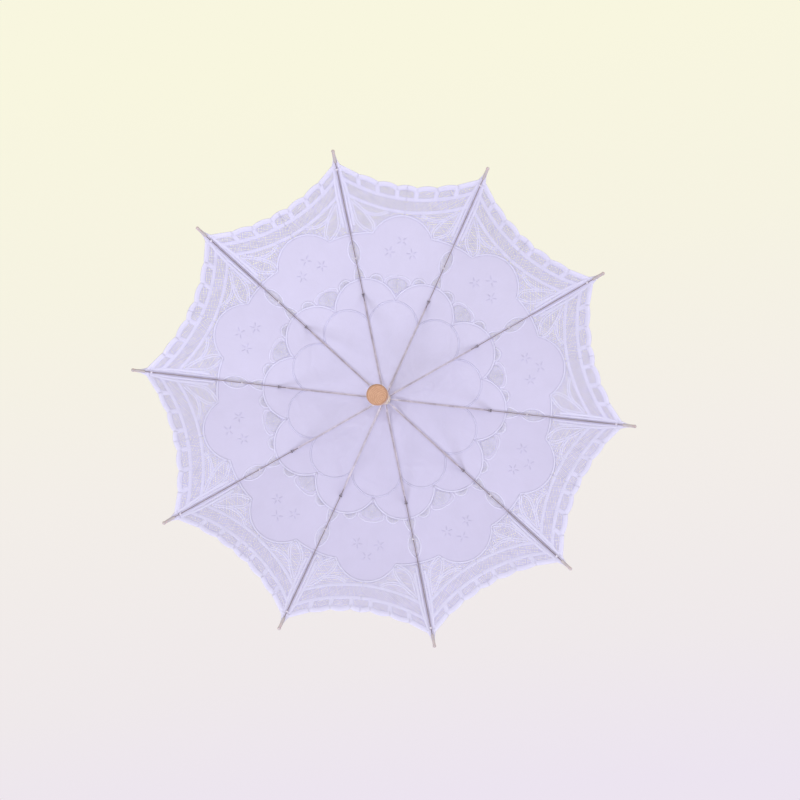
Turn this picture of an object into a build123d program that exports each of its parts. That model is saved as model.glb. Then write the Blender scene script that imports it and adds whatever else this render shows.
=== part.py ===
from build123d import *

# A lace parasol: ten steel ribs hang from a notch at the top of a wooden shaft, and a runner that
# slides on the shaft spreads them through ten stretchers. The cover is ten rib-centred sectors.
#
# Millimetres, +Z up the shaft. The origin is on the shaft's axis, halfway up the hand grip.
# Rib 1 points along +X, and the ribs are numbered anticlockwise as seen from above.

import os
from math import asin, cos, degrees, radians, sin, sqrt

# Driving dimensions: the frame
RIB_COUNT = 10
PITCH = 360 / RIB_COUNT  # from one rib to the next, in degrees
NOTCH_Z = 540.0  # the rib pivots
PIVOT_RADIUS = 8.0  # the rib pivots, and the stretchers' pivots at the runner, from the axis
RIB_LENGTH = 430.0  # along the curve, from the pivot to the end of the tip cap
RIB_START_SLOPE = 10.0  # degrees below level at the notch, with the parasol open
RIB_END_SLOPE = 30.0  # degrees below level at the tip
JOINT_ALONG = 180.0  # where the stretcher is riveted to the rib, along the curve
CLOSING_TURN = 69.0  # of each rib, from open to closed, in degrees

# Driving dimensions: the steel
RIB_WIDTH = 2.2
RIB_HEIGHT = 2.4
RIB_WALL = 0.45
STRETCHER_WIDTH = 3.4
STRETCHER_HEIGHT = 2.4
STRETCHER_WALL = 0.4
TONGUE = 1.2  # thickness of the flattened ends
EYE_RADIUS = 1.6
WIRE_RADIUS = 0.6  # the notch wire, and the stretchers' cross pins
RUNNING_FIT = 0.1  # of the rib eyes on their wire
RIVET_RADIUS = 0.7
RIVET_FIT = 0.05

# Driving dimensions: the wood
SHAFT_RADIUS = 5.0
SHAFT_BOTTOM = -10.0
SHAFT_TOP = 590.0
GRIP_RADIUS = 13.0
GRIP_BOTTOM = -50.0
GRIP_TOP = 42.0
GRIP_ROUND = 2.5
HANDLE_SHOULDER = (9.4, GRIP_TOP + 17)  # radius and height of a point on the handle's taper
HANDLE_NECK = 7.6  # radius, on both sides of the handle's bead
HANDLE_BEAD = 8.8
HANDLE_LIP = 6.4
HANDLE_TOP = 75.0
HANDLE_BEAD_Z = HANDLE_TOP - 4.5
HANDLE_BEAD_HALF = 2.5
FERRULE_BOTTOM = 548.4
FERRULE_FOOT = 8.6  # radius
FERRULE_FOOT_HEIGHT = 2.6
FERRULE_WAIST = (7.2, FERRULE_BOTTOM + 4.1)
FERRULE_TOP = 612.0
FERRULE_BELLY = (7.6, FERRULE_BOTTOM + 13.6)
FERRULE_TAPER = (5.4, FERRULE_TOP - 10)
FERRULE_NOSE = 4.2  # radius of the rounded end

# Driving dimensions: the runner
RUNNER_LENGTH = 70.0  # below the stretchers' pivots
RUNNER_RADIUS = 6.2
RUNNER_BORE_FIT = 0.08
FLANGE_RADIUS = 10.2
FLANGE_HALF = 3.2
NECK_HEIGHT = 4.2  # above the stretchers' pivots
SLOT_WIDTH = 1.8  # of the slots that the flattened ends turn in
SLOT_FLOOR = 6.3  # radius of the slots' floor
SLOT_DEPTH = 6.0
KEYWAY_WIDTH = 2.6  # of the way cut for the catches, between ribs 1 and 2
KEYWAY_RADII = (3.8, 7.6)
LATCH_BAND = 3.0  # the closed ring under the keyway, which the catches hold

# Driving dimensions: the cover
COVER_THICKNESS = 1.0
COVER_LIFT = 2.6  # the middle of the cover above the rib's centre line
COVER_HOLE = 6.0
COVER_CORNER = 384.0  # radius of the hem's corners, on the ribs
COVER_MID_GORE = 349.0  # radius of the hem halfway between two ribs
CROWN_FLAT_Z = NOTCH_Z + 5.9
CROWN_FLAT_RADIUS = 10.5
CROWN_ALONG = 48.0  # where the cover comes down to the rib's line
SECTOR_GAP = 0.4

HALF = radians(PITCH / 2)
CURVE_RADIUS = RIB_LENGTH / radians(RIB_END_SLOPE - RIB_START_SLOPE)
CURVE_X = PIVOT_RADIUS - CURVE_RADIUS * sin(radians(RIB_START_SLOPE))
CURVE_Z = NOTCH_Z - CURVE_RADIUS * cos(radians(RIB_START_SLOPE))


def slope_at(along):
    """The rib's slope below level, in degrees, at a length along its curve."""
    return RIB_START_SLOPE + degrees(along / CURVE_RADIUS)


def rib_point(along, lift=0.0):
    """The point (radius, height) at a length along the rib's curve, and lifted square to it."""
    slope = radians(slope_at(along))
    reach = CURVE_RADIUS + lift
    return CURVE_X + reach * sin(slope), CURVE_Z + reach * cos(slope)


JOINT_X, JOINT_Z = rib_point(JOINT_ALONG)
LINK = sqrt((JOINT_X - PIVOT_RADIUS) ** 2 + (NOTCH_Z - JOINT_Z) ** 2)
RUNNER_Z = 2 * JOINT_Z - NOTCH_Z  # both links are equal, so the runner's pivots mirror the notch's
RUNNER_BOTTOM = RUNNER_Z - RUNNER_LENGTH

os.makedirs("parts", exist_ok=True)


def keep(piece, label):
    """Names a finished piece and writes its file."""
    piece.part.label = label
    export_step(piece.part, f"parts/{label}.step")


def between_ribs(number):
    """The angle halfway between rib number and the next, in degrees."""
    return (number - 0.5) * PITCH


# ---------------------------------------------------------------- the wooden stick

CATCH_SLOT_WIDTH = 2.2
CATCH_SLOT_FLOOR = -1.5  # radius, so past the axis
CATCH_LENGTH = 36.0
CATCH_SLOT_SPARE = 2.0
TOP_CATCH_Z = RUNNER_BOTTOM - 0.3  # the nose's flat, just under the raised runner
LINK_SLOPE = slope_at(JOINT_ALONG / 2)
RUNNER_TRAVEL = 2 * LINK * (sin(radians(LINK_SLOPE + CLOSING_TURN)) - sin(radians(LINK_SLOPE)))
BOTTOM_CATCH_Z = RUNNER_BOTTOM - RUNNER_TRAVEL + LATCH_BAND + 0.4  # just over the lowered band

STOP_GAP = 0.2
STOP_PIN_RADIUS = 0.8
STOP_PIN_LENGTH = 13.0
STOP_PIN_Z = RUNNER_Z + NECK_HEIGHT + STOP_GAP + STOP_PIN_RADIUS
NOTCH_PIN_Z = NOTCH_Z - 3.2
NOTCH_PIN_RADIUS = 0.6
NOTCH_PIN_LENGTH = 19.0
PIN_PLAY = 0.02

# Through the axis and the middle of the gore between ribs 1 and 2, where the catches are too
gore_plane = Plane((0, 0, 0), x_dir=(cos(HALF), sin(HALF), 0), z_dir=(sin(HALF), -cos(HALF), 0))


def across(height, number=2):
    """A plane square to a cross pin that lies between two ribs, at a height."""
    turn = radians(between_ribs(number))
    return Plane((0, 0, height), x_dir=(-sin(turn), cos(turn), 0), z_dir=(cos(turn), sin(turn), 0))


with BuildPart() as shaft:
    with BuildSketch(Plane.XY.offset(SHAFT_BOTTOM)):
        Circle(SHAFT_RADIUS)
    extrude(amount=SHAFT_TOP - SHAFT_BOTTOM)
    chamfer(shaft.faces().sort_by(Axis.Z)[-1].edges(), 0.6)
    with BuildSketch(gore_plane):
        for low, high in (
            (TOP_CATCH_Z - CATCH_LENGTH - CATCH_SLOT_SPARE, TOP_CATCH_Z + CATCH_SLOT_SPARE),
            (BOTTOM_CATCH_Z - CATCH_SLOT_SPARE, BOTTOM_CATCH_Z + CATCH_LENGTH + CATCH_SLOT_SPARE),
        ):
            with Locations(((CATCH_SLOT_FLOOR + SHAFT_RADIUS) / 2 + 1, (low + high) / 2)):
                Rectangle(SHAFT_RADIUS - CATCH_SLOT_FLOOR + 2, high - low)
    extrude(amount=CATCH_SLOT_WIDTH / 2, both=True, mode=Mode.SUBTRACT)
    for height, radius in ((STOP_PIN_Z, STOP_PIN_RADIUS), (NOTCH_PIN_Z, NOTCH_PIN_RADIUS)):
        with BuildSketch(across(height)):
            Circle(radius + PIN_PLAY)
        extrude(amount=SHAFT_RADIUS + 1, both=True, mode=Mode.SUBTRACT)
keep(shaft, "shaft")

with BuildPart() as handle:
    with BuildSketch(Plane.XZ):
        with BuildLine():
            Polyline(
                (SHAFT_RADIUS, HANDLE_TOP),
                (SHAFT_RADIUS, SHAFT_BOTTOM),
                (0, SHAFT_BOTTOM),
                (0, GRIP_BOTTOM),
                (GRIP_RADIUS, GRIP_BOTTOM),
                (GRIP_RADIUS, GRIP_TOP),
            )
            Spline(
                (GRIP_RADIUS, GRIP_TOP),
                HANDLE_SHOULDER,
                (HANDLE_NECK, HANDLE_BEAD_Z - HANDLE_BEAD_HALF),
                tangents=((0, 1), (-0.1, 1)),
            )
            ThreePointArc(
                (HANDLE_NECK, HANDLE_BEAD_Z - HANDLE_BEAD_HALF),
                (HANDLE_BEAD, HANDLE_BEAD_Z),
                (HANDLE_NECK, HANDLE_BEAD_Z + HANDLE_BEAD_HALF),
            )
            Polyline(
                (HANDLE_NECK, HANDLE_BEAD_Z + HANDLE_BEAD_HALF),
                (HANDLE_LIP, HANDLE_TOP),
                (SHAFT_RADIUS, HANDLE_TOP),
            )
        make_face()
    revolve(axis=Axis.Z)
    bottom_edges = handle.edges().filter_by(GeomType.CIRCLE).group_by(Axis.Z)[0]
    fillet(bottom_edges.sort_by(SortBy.RADIUS)[-1], GRIP_ROUND)
keep(handle, "handle")

with BuildPart() as ferrule:
    with BuildSketch(Plane.XZ):
        with BuildLine():
            Polyline(
                (SHAFT_RADIUS, FERRULE_BOTTOM),
                (FERRULE_FOOT, FERRULE_BOTTOM),
                (FERRULE_FOOT, FERRULE_BOTTOM + FERRULE_FOOT_HEIGHT),
                FERRULE_WAIST,
            )
            Spline(
                FERRULE_WAIST,
                FERRULE_BELLY,
                FERRULE_TAPER,
                (FERRULE_NOSE, FERRULE_TOP - FERRULE_NOSE),
            )
            RadiusArc((FERRULE_NOSE, FERRULE_TOP - FERRULE_NOSE), (0, FERRULE_TOP), FERRULE_NOSE)
            Polyline(
                (0, FERRULE_TOP),
                (0, SHAFT_TOP),
                (SHAFT_RADIUS, SHAFT_TOP),
                (SHAFT_RADIUS, FERRULE_BOTTOM),
            )
        make_face()
    revolve(axis=Axis.Z)
keep(ferrule, "ferrule")

for name, height, radius, length in (
    ("stop_pin", STOP_PIN_Z, STOP_PIN_RADIUS, STOP_PIN_LENGTH),
    ("notch_pin", NOTCH_PIN_Z, NOTCH_PIN_RADIUS, NOTCH_PIN_LENGTH),
):
    with BuildPart() as pin:
        with BuildSketch(across(height)):
            Circle(radius)
        extrude(amount=length / 2, both=True)
    keep(pin, name)

# ---------------------------------------------------------------- notch, washer and wire

NOTCH_RADIUS = 9.8
NOTCH_BOTTOM = NOTCH_Z - 5.0
NOTCH_TOP = NOTCH_Z + 5.0
SLOT_ROOF = NOTCH_Z + EYE_RADIUS + 0.6
WASHER_RADIUS = 11.0
WASHER_BOTTOM = CROWN_FLAT_Z + COVER_THICKNESS / 2 + 0.3

with BuildPart() as top_notch:
    with BuildSketch(Plane.XY.offset(NOTCH_BOTTOM)):
        Circle(NOTCH_RADIUS)
        Circle(SHAFT_RADIUS, mode=Mode.SUBTRACT)
    extrude(amount=NOTCH_TOP - NOTCH_BOTTOM)
    chamfer(top_notch.edges().filter_by(GeomType.CIRCLE).sort_by(SortBy.RADIUS)[-2:], 0.6)
    with BuildSketch(Plane.XY.offset(NOTCH_Z - WIRE_RADIUS)):
        Circle(NOTCH_RADIUS + 1)
        Circle(PIVOT_RADIUS - WIRE_RADIUS - PIN_PLAY, mode=Mode.SUBTRACT)
    extrude(amount=2 * WIRE_RADIUS, mode=Mode.SUBTRACT)
    with BuildSketch(Plane.XY.offset(NOTCH_BOTTOM)):
        with PolarLocations(SLOT_FLOOR + SLOT_DEPTH / 2, RIB_COUNT):
            Rectangle(SLOT_DEPTH, SLOT_WIDTH)
    extrude(amount=SLOT_ROOF - NOTCH_BOTTOM, mode=Mode.SUBTRACT)
    with BuildSketch(across(NOTCH_PIN_Z)):
        Circle(NOTCH_PIN_RADIUS + PIN_PLAY)
    extrude(amount=NOTCH_RADIUS + 1, both=True, mode=Mode.SUBTRACT)
keep(top_notch, "top_notch")

with BuildPart() as notch_wire:
    with Locations((0, 0, NOTCH_Z)):
        Torus(PIVOT_RADIUS, WIRE_RADIUS)
keep(notch_wire, "notch_wire")

with BuildPart() as crown_washer:
    with BuildSketch(Plane.XY.offset(WASHER_BOTTOM)):
        Circle(WASHER_RADIUS)
        Circle(SHAFT_RADIUS, mode=Mode.SUBTRACT)
    extrude(amount=FERRULE_BOTTOM - WASHER_BOTTOM)
    chamfer(crown_washer.edges().filter_by(GeomType.CIRCLE).sort_by(SortBy.RADIUS)[-2:], 0.4)
keep(crown_washer, "crown_washer")

# ---------------------------------------------------------------- the runner

FLANGE_BOTTOM = RUNNER_Z - FLANGE_HALF
FLANGE_TOP = RUNNER_Z + FLANGE_HALF
GROOVE_ROOF = RUNNER_Z + WIRE_RADIUS + 0.3
GROOVE_INNER = PIVOT_RADIUS - WIRE_RADIUS - 0.3
GROOVE_OUTER = PIVOT_RADIUS + WIRE_RADIUS + 0.5
BELL_RADIUS = 9.4
BELL_LENGTH = 13.0
BELL_WAIST = (7.4, RUNNER_BOTTOM + 8.5)
BELL_RIM = 4.0  # height of the bell's straight part
NECK_TOP = RUNNER_Z + NECK_HEIGHT
MISSING_TOOTH = 6.0  # the flange is left out over the keyway, from slot to slot

with BuildPart() as runner:
    with BuildSketch(Plane.XZ):
        with BuildLine():
            Polyline(
                (SHAFT_RADIUS + RUNNER_BORE_FIT, RUNNER_BOTTOM),
                (BELL_RADIUS - 1, RUNNER_BOTTOM),
                (BELL_RADIUS, RUNNER_BOTTOM + 1),
                (BELL_RADIUS, RUNNER_BOTTOM + BELL_RIM),
            )
            Spline(
                (BELL_RADIUS, RUNNER_BOTTOM + BELL_RIM),
                BELL_WAIST,
                (RUNNER_RADIUS, RUNNER_BOTTOM + BELL_LENGTH),
                tangents=((-0.1, 1), (0, 1)),
            )
            Polyline(
                (RUNNER_RADIUS, RUNNER_BOTTOM + BELL_LENGTH),
                (RUNNER_RADIUS, FLANGE_BOTTOM),
                (GROOVE_INNER, FLANGE_BOTTOM),
                (GROOVE_INNER, GROOVE_ROOF),
                (GROOVE_OUTER, GROOVE_ROOF),
                (GROOVE_OUTER, FLANGE_BOTTOM),
                (FLANGE_RADIUS, FLANGE_BOTTOM),
                (FLANGE_RADIUS, FLANGE_TOP),
                (RUNNER_RADIUS + 0.6, FLANGE_TOP),
                (RUNNER_RADIUS, NECK_TOP),
                (SHAFT_RADIUS + RUNNER_BORE_FIT, NECK_TOP),
                (SHAFT_RADIUS + RUNNER_BORE_FIT, RUNNER_BOTTOM),
            )
        make_face()
    revolve(axis=Axis.Z)
    with BuildSketch(Plane.XY.offset(FLANGE_BOTTOM - 1)):
        with PolarLocations(SLOT_FLOOR + SLOT_DEPTH / 2, RIB_COUNT):
            Rectangle(SLOT_DEPTH, SLOT_WIDTH)
    extrude(amount=NECK_TOP - FLANGE_BOTTOM + 2, mode=Mode.SUBTRACT)
    with BuildSketch(gore_plane):
        with Locations((sum(KEYWAY_RADII) / 2, (RUNNER_BOTTOM + LATCH_BAND + NECK_TOP + 1) / 2)):
            Rectangle(KEYWAY_RADII[1] - KEYWAY_RADII[0], NECK_TOP + 1 - RUNNER_BOTTOM - LATCH_BAND)
    extrude(amount=KEYWAY_WIDTH / 2, both=True, mode=Mode.SUBTRACT)
    with BuildSketch(gore_plane):
        with Locations((SLOT_FLOOR + SLOT_DEPTH / 2, RUNNER_Z)):
            Rectangle(SLOT_DEPTH, 2 * NECK_HEIGHT)
    extrude(amount=MISSING_TOOTH / 2, both=True, mode=Mode.SUBTRACT)
keep(runner, "runner")

# ---------------------------------------------------------------- the sprung catches

NOSE_REACH = 7.2
NOSE_THICKNESS = 1.5
RAMP_LENGTH = 8.5
RAMP_REACH = 4.0
RAMP_FOOT = 4.0  # length of the ramp's shallow end
LEAF_IN = 1.0
LEAF_OUT = 2.6
LEAF_WIDTH = 1.8


def catch_outline(flat, way):
    """A leaf and its nose. flat is the height of the nose's flat, and the leaf runs off that way."""
    root = flat + way * CATCH_LENGTH
    ramp = flat + way * RAMP_LENGTH
    Polyline(
        (LEAF_IN, flat),
        (NOSE_REACH, flat),
        (NOSE_REACH, flat + way * NOSE_THICKNESS),
        (RAMP_REACH, ramp),
        (LEAF_OUT, ramp + way * RAMP_FOOT),
        (LEAF_OUT, root),
        (LEAF_IN, root),
        close=True,
    )


for name, flat, way in (("top_catch", TOP_CATCH_Z, -1), ("bottom_catch", BOTTOM_CATCH_Z, 1)):
    with BuildPart() as catch:
        with BuildSketch(gore_plane):
            with BuildLine():
                catch_outline(flat, way)
            make_face()
        extrude(amount=LEAF_WIDTH / 2, both=True)
    keep(catch, name)

# ---------------------------------------------------------------- one rib, along +X

RIB_TONGUE_END = 9.0
RIB_SOLID_END = 14.0
CAP_ALONG = 408.0  # where the tip cap begins
CAP_BORE = 9.0  # how deep the rib goes into its cap
CAP_LENGTH = RIB_LENGTH - CAP_ALONG


def rib_strip(start, end, low, high):
    """The rib's side view between two lengths along its curve, from low to high about its line."""
    first, last = 90 - slope_at(start), 90 - slope_at(end)
    for lift in (low, high):
        CenterArc((CURVE_X, CURVE_Z), CURVE_RADIUS + lift, first, last - first)
    for along in (start, end):
        Line(rib_point(along, low), rib_point(along, high))


with BuildPart() as rib:
    with BuildSketch(Plane.XZ):
        with BuildLine():
            rib_strip(RIB_TONGUE_END, CAP_ALONG + CAP_BORE, -RIB_HEIGHT / 2, RIB_HEIGHT / 2)
        make_face()
    extrude(amount=RIB_WIDTH / 2, both=True)
    with BuildSketch(Plane.XZ):
        with BuildLine():
            rib_strip(RIB_SOLID_END, RIB_LENGTH, -RIB_HEIGHT, RIB_HEIGHT / 2 - RIB_WALL)
        make_face()
    extrude(amount=RIB_WIDTH / 2 - RIB_WALL, both=True, mode=Mode.SUBTRACT)
    with BuildSketch(Plane.XZ):
        with BuildLine():
            rib_strip(0, RIB_TONGUE_END + 1, -RIB_HEIGHT / 2, RIB_HEIGHT / 2)
        make_face()
        with Locations((PIVOT_RADIUS, NOTCH_Z)):
            Circle(EYE_RADIUS)
    extrude(amount=TONGUE / 2, both=True)
    with BuildSketch(Plane.XZ):
        with Locations((PIVOT_RADIUS, NOTCH_Z)):
            Circle(WIRE_RADIUS + RUNNING_FIT)
        with Locations((JOINT_X, JOINT_Z)):
            Circle(RIVET_RADIUS + RIVET_FIT)
    extrude(amount=RIB_WIDTH, both=True, mode=Mode.SUBTRACT)

cap_x, cap_z = rib_point(CAP_ALONG)
cap_slope = radians(slope_at(CAP_ALONG + CAP_LENGTH / 2))
cap_plane = Plane(
    (cap_x, 0, cap_z), x_dir=(cos(cap_slope), 0, -sin(cap_slope)), z_dir=(0, -1, 0)
)
CAP_RADIUS = 2.5
CAP_BORE_RADIUS = 1.7
BEAD_RADIUS = 2.9
bead_centre = CAP_LENGTH - BEAD_RADIUS
bead_reach = sqrt(BEAD_RADIUS**2 - CAP_RADIUS**2)

with BuildPart() as rib_tip:
    with BuildSketch(cap_plane):
        with BuildLine():
            Polyline(
                (CAP_LENGTH, 0),
                (CAP_BORE + 0.3, 0),
                (CAP_BORE + 0.3, CAP_BORE_RADIUS),
                (0, CAP_BORE_RADIUS),
                (0, CAP_RADIUS - 0.15),
                (0.4, CAP_RADIUS),
                (bead_centre - bead_reach, CAP_RADIUS),
            )
            CenterArc((bead_centre, 0), BEAD_RADIUS, 0, 180 - degrees(asin(CAP_RADIUS / BEAD_RADIUS)))
        make_face()
    revolve(axis=Axis(cap_plane.origin, cap_plane.x_dir))

# ---------------------------------------------------------------- one stretcher, along +X

FORK_LENGTH = 13.0  # without a web, so that the rib passes between the two cheeks
FORK_RADIUS = 1.5
STRETCHER_SOLID = 4.0
STRETCHER_TONGUE = 12.0
CROSS_PIN_LENGTH = 3.6
HEAD_RADIUS = 1.3
HEAD_HEIGHT = 0.5

# Its own x runs from the rivet to the runner, and its own y points down, away from the cover.
link_plane = Plane(
    (JOINT_X, 0, JOINT_Z),
    x_dir=(PIVOT_RADIUS - JOINT_X, 0, RUNNER_Z - JOINT_Z),
    z_dir=(0, -1, 0),
)


def bar(start, end, low=-STRETCHER_HEIGHT / 2, high=STRETCHER_HEIGHT / 2):
    """A rectangle along the stretcher's own x, in its side view."""
    with Locations(((start + end) / 2, (low + high) / 2)):
        Rectangle(end - start, high - low)


with BuildPart() as stretcher:
    with BuildSketch(link_plane):
        bar(0, LINK - STRETCHER_TONGUE)
        Circle(FORK_RADIUS)
    extrude(amount=STRETCHER_WIDTH / 2, both=True)
    with BuildSketch(link_plane):
        bar(-2 * FORK_RADIUS, FORK_LENGTH, -2 * FORK_RADIUS, 2 * FORK_RADIUS)
        bar(
            FORK_LENGTH,
            LINK - STRETCHER_TONGUE - STRETCHER_SOLID,
            STRETCHER_WALL - STRETCHER_HEIGHT / 2,
            STRETCHER_HEIGHT,
        )
    extrude(amount=STRETCHER_WIDTH / 2 - STRETCHER_WALL, both=True, mode=Mode.SUBTRACT)
    with BuildSketch(link_plane):
        bar(LINK - STRETCHER_TONGUE - 1, LINK)
        with Locations((LINK, 0)):
            Circle(EYE_RADIUS)
    extrude(amount=TONGUE / 2, both=True)
    with BuildSketch(link_plane):
        with Locations((LINK, 0)):
            Circle(WIRE_RADIUS)
    extrude(amount=CROSS_PIN_LENGTH / 2, both=True)
    with BuildSketch(link_plane):
        Circle(RIVET_RADIUS + PIN_PLAY)
    extrude(amount=STRETCHER_WIDTH, both=True, mode=Mode.SUBTRACT)
    with BuildSketch(link_plane):
        Circle(RIVET_RADIUS)
    extrude(amount=STRETCHER_WIDTH / 2 + PIN_PLAY + HEAD_HEIGHT, both=True)
    for side in (-1, 1):
        with BuildSketch(link_plane.offset(side * (STRETCHER_WIDTH / 2 + PIN_PLAY))):
            Circle(HEAD_RADIUS)
        extrude(amount=side * HEAD_HEIGHT)

# ---------------------------------------------------------------- one sector of the cover, along +X

SECTOR_REACH = 420.0
APEX = SECTOR_GAP / 2 / sin(HALF)
half_chord = COVER_CORNER * sin(HALF)
hem_sag = COVER_CORNER * cos(HALF) - COVER_MID_GORE
HEM_RADIUS = (half_chord**2 + hem_sag**2) / (2 * hem_sag)
HEM_CENTRE = COVER_MID_GORE + HEM_RADIUS


def gore_point(radius_and_height, lift):
    """The point over the middle of a gore that is level with one on the rib, in the gore's plane."""
    radius, height = radius_and_height
    return radius * cos(HALF), height + lift


def cover_edge(lift):
    """One face of the cover over the middle of a gore: flat on the notch, then down the rib's line."""
    inner = gore_point((COVER_HOLE, CROWN_FLAT_Z), lift)
    flat = gore_point((CROWN_FLAT_RADIUS, CROWN_FLAT_Z), lift)
    start, middle, end = (
        gore_point(rib_point(along, COVER_LIFT), lift)
        for along in (CROWN_ALONG, (CROWN_ALONG + RIB_LENGTH) / 2, RIB_LENGTH)
    )
    slope = radians(slope_at(CROWN_ALONG))
    Line(inner, flat)
    Spline(flat, start, tangents=((1, 0), (cos(slope) * cos(HALF), -sin(slope))))
    ThreePointArc(start, middle, end)
    return inner, end


with BuildPart() as cover_sector:
    with BuildSketch(gore_plane):
        with BuildLine():
            low_ends = cover_edge(-COVER_THICKNESS / 2)
            high_ends = cover_edge(COVER_THICKNESS / 2)
            for low_end, high_end in zip(low_ends, high_ends):
                Line(low_end, high_end)
        make_face()
    extrude(amount=SECTOR_REACH, both=True)
    with BuildSketch(Plane.XY.offset(NOTCH_Z - RIB_LENGTH / 2)):
        with BuildLine():
            Polyline(
                (APEX, 0),
                (SECTOR_REACH, 0),
                (SECTOR_REACH, (SECTOR_REACH - APEX) * sin(HALF) / cos(HALF)),
                close=True,
            )
        make_face()
    extrude(amount=RIB_LENGTH, mode=Mode.INTERSECT)
    with BuildSketch(Plane.XY.offset(NOTCH_Z - RIB_LENGTH / 2)):
        with Locations((HEM_CENTRE * cos(HALF), HEM_CENTRE * sin(HALF))):
            Circle(HEM_RADIUS)
    extrude(amount=RIB_LENGTH, mode=Mode.SUBTRACT)
    mirror(about=Plane.XZ)

# ---------------------------------------------------------------- ten of each, round the shaft

for number in range(1, RIB_COUNT + 1):
    turn = (number - 1) * PITCH
    for master, family in (
        (rib, "rib"),
        (rib_tip, "rib_tip"),
        (stretcher, "stretcher"),
        (cover_sector, "canopy"),
    ):
        with BuildPart() as placed:
            add(master.part, rotation=(0, 0, turn))
        keep(placed, f"{family}_{number:02d}")
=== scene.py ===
import math

import bpy
import numpy as np
from mathutils import Matrix, Vector
from mathutils.geometry import delaunay_2d_cdt


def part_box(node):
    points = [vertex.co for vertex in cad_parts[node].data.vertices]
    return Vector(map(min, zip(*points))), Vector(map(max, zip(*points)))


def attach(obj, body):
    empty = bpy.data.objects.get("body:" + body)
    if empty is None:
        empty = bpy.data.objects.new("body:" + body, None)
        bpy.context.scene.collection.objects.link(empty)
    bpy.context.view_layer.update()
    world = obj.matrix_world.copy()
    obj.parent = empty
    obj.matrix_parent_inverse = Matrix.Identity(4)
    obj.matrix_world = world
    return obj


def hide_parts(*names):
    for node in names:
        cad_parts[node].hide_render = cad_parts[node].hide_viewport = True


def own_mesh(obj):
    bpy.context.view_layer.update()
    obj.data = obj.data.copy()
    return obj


# The looks of the lace parasol. The frame gives the sticks, ribs and joints; this script gives them
# their materials and makes the cover: ten rib-centred sectors of cotton, tape and needle lace.
#
# The cover is drawn flat, as seen along the shaft, in millimetres: x runs out along the rib and y
# across it. drape() lays those drawings over the ribs and turns them to metres.

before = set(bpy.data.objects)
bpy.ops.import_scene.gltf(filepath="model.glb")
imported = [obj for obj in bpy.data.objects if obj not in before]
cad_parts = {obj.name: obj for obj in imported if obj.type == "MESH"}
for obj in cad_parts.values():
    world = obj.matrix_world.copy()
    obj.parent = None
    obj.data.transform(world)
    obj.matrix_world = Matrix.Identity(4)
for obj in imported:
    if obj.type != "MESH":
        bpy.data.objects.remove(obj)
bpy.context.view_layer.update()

RIBS = 10
PITCH = 360 / RIBS  # degrees from rib to rib
HALF = PITCH / 2  # degrees from a rib to the middle of a gore
MM = 0.001
SEED = 7

# ---------------- the surface the cover lies on

wire_low, wire_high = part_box("notch_wire")
washer_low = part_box("crown_washer")[0]

RIB_LENGTH = 430.0  # along the curve
RIVET_ALONG = 180.0  # of the rivets, along the ribs
START_SLOPE = math.radians(10)  # below level, at the notch
END_SLOPE = math.radians(30)  # below level, at the tip
COVER_LIFT = 2.0  # of the cloth's middle above the rib's centre line
CROWN_GAP = 0.9  # of the cloth's middle below the crown washer
CROWN_FLAT = 10.5  # radius of the level part round the shaft
CROWN_BLEND = 47.0  # radius where the cover comes down to the ribs
SAG = 0.055  # of a half gore's width, inwards between the ribs
FREE_FROM = 14.0  # from the shaft, where the creases begin
FREE_RUN = 30.0  # over which they grow to their full height

NOTCH_Z = (wire_low.z + wire_high.z) / 2 / MM
PIVOT_RADIUS = (wire_high.x - (wire_high.z - wire_low.z) / 2) / MM
CURVE_RADIUS = RIB_LENGTH / (END_SLOPE - START_SLOPE)
CURVE_X = PIVOT_RADIUS - CURVE_RADIUS * math.sin(START_SLOPE)
CURVE_Z = NOTCH_Z - CURVE_RADIUS * math.cos(START_SLOPE)
CROWN_Z = washer_low.z / MM - CROWN_GAP


def rib_point(along, lift=0.0):
    """Distance from the shaft and height of a point along a rib, in millimetres."""
    slope = START_SLOPE + along / CURVE_RADIUS
    reach = CURVE_RADIUS + lift
    return CURVE_X + reach * math.sin(slope), CURVE_Z + reach * math.cos(slope)


RIVET_DISTANCE = rib_point(RIVET_ALONG)[0] * MM  # of the rivets from the shaft's axis


def over_the_rib(distance):
    """Height of the cover over a rib, at distances from the shaft."""
    reach = CURVE_RADIUS + COVER_LIFT
    line = CURVE_Z + np.sqrt(reach**2 - (distance - CURVE_X) ** 2)
    t = np.clip((distance - CROWN_FLAT) / (CROWN_BLEND - CROWN_FLAT), 0, 1)
    t = t * t * (3 - 2 * t)
    return CROWN_Z * (1 - t) + line * t


WRINKLE_ZONE = (45, 175)  # distances from the shaft
WRINKLE_LENGTHS = (14, 34)
WRINKLE_TURNS = (0.25, -0.25, 1.2, -1.2)  # in radians, from straight outwards
WRINKLE_SPREAD = 0.3  # of those turns


def make_wrinkles(count, widths, heights, rng):
    """Creases of the cover, each as its middle, direction, length, width and height."""
    creases = []
    for _ in range(count):
        distance = rng.uniform(*WRINKLE_ZONE)
        angle = rng.uniform(0, 2 * math.pi)
        turn = angle + rng.choice(WRINKLE_TURNS) + rng.normal(0, WRINKLE_SPREAD)
        middle = (distance * math.cos(angle), distance * math.sin(angle))
        along = (math.cos(turn), math.sin(turn))
        height = rng.uniform(*heights) * rng.choice((-1, 1))
        creases.append((middle, along, rng.uniform(*WRINKLE_LENGTHS), rng.uniform(*widths), height))
    return creases


WRINKLES = make_wrinkles(90, (3.0, 6.0), (0.0, 0.75), np.random.default_rng(SEED))
WRINKLES += make_wrinkles(36, (1.5, 2.4), (0.3, 0.6), np.random.default_rng(SEED + 1))
FLUTTER = 0.7  # of the hem between the ribs
FLUTTER_FROM = 250  # from the shaft
FLUTTER_RUN = 100  # over which it grows to its full height


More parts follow.
